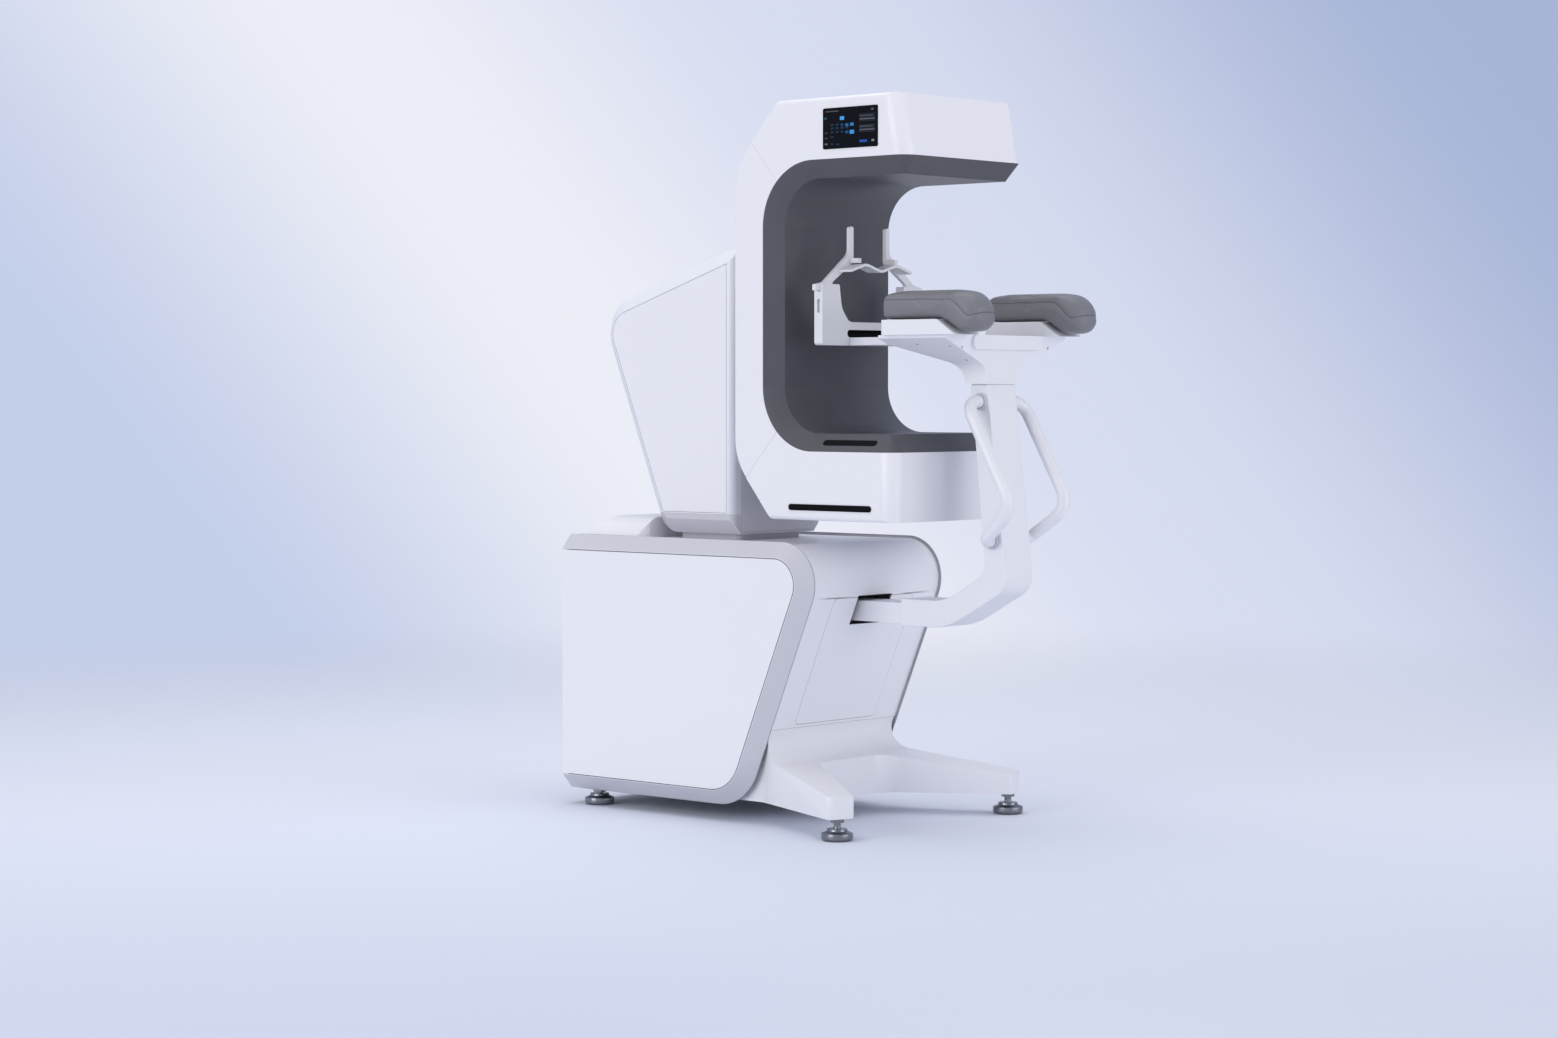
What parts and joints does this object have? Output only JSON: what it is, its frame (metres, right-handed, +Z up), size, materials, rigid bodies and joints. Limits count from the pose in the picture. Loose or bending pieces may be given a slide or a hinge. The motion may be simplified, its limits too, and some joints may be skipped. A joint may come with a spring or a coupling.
{
  "type": "ct scanner",
  "caption": "seated head cone-beam CT scanner: C-shaped gantry turning on a rear housing and cabinet, with elbow pads, hand grips and a head holder on a front arm",
  "frame": {"origin": "centre of the floor area, on the floor under the levelling feet", "axes": "+X to the right as seen by someone facing the head holder from the front, -Y towards the patient, +Z up"},
  "size_m": [0.68, 1.232, 1.633],
  "materials": {
    "cover_white": "satin moulded cover",
    "frame_white": "satin powder coat",
    "grip_white": "smooth coated tube",
    "holder_white": "semi-gloss moulding",
    "trim_grey": "matte",
    "liner_grey": "fine grained matte",
    "screen_black": "glossy panel",
    "strip_black": "gloss",
    "pad_grey": "soft vinyl upholstery",
    "foot_steel": "turned",
    "inner_metal": "machined",
    "inner_dark": "matte black",
    "belt_rubber": "toothed belt rubber"
  },
  "bodies": {
    "base": {"housing_side_left": "cover_white", "housing_side_right": "cover_white", "housing_wrap": "cover_white", "housing_tray": "trim_grey", "housing_face": "trim_grey", "plinth": "trim_grey", "rear_hump": "cover_white", "side_cover_left": "cover_white", "side_cover_right": "cover_white", "front_cover": "cover_white", "access_panel": "cover_white", "rear_panel": "trim_grey", "power_inlet": "strip_black", "leg_casting": "frame_white", "levelling_feet": "foot_steel", "base_plate": "inner_metal", "chassis": "inner_metal", "generator": "inner_metal", "control_unit": "inner_dark", "drive_belt": "belt_rubber", "drive_motor": "inner_dark", "motor_stand": "inner_metal", "bearing_pedestal": "inner_metal", "arm_beam": "frame_white", "support_column": "frame_white", "support_bracket": "frame_white", "tray_left": "frame_white", "tray_right": "frame_white", "pad_left": "pad_grey", "pad_right": "pad_grey", "grip_left": "grip_white", "grip_right": "grip_white", "grip_collars": "trim_grey", "holder_plate": "holder_white", "head_yoke": "holder_white"},
    "gantry": {"upper_arm_cover": "cover_white", "spine_cover": "cover_white", "lower_arm_cover": "cover_white", "throat_liner": "liner_grey", "touch_screen": "screen_black", "arm_strip": "strip_black", "bevel_strip": "strip_black", "gantry_frame": "inner_metal", "xray_tube": "inner_metal", "collimator": "inner_metal", "detector_stand": "inner_metal", "flat_detector": "inner_dark", "gantry_hub": "inner_metal", "driven_pulley": "inner_metal"},
    "motor_rotor": {"motor_pulley": "inner_metal"},
    "head_support": {"temple_arm_left": "holder_white", "temple_arm_right": "holder_white", "chin_rest": "holder_white"}
  },
  "joints": [
    {"name": "gantry_rotation", "type": "hinge", "parent": "base", "child": "gantry", "pos_m": [0, 0.098, 1.163], "axis": [0, 1, 0], "range_deg": [-180, 180]},
    {"name": "motor_rotation", "type": "hinge", "parent": "base", "child": "motor_rotor", "pos_m": [0, 0.277, 0.923], "axis": [0, 1, 0], "range_deg": [-720, 720]},
    {"name": "head_support_height", "type": "slide", "parent": "base", "child": "head_support", "axis": [0, 0, 1], "range_m": [0, 0.03]}
  ],
  "couplings": [
    {"joint": "motor_rotation", "follows": "gantry_rotation", "ratio": 3.9583}
  ]
}
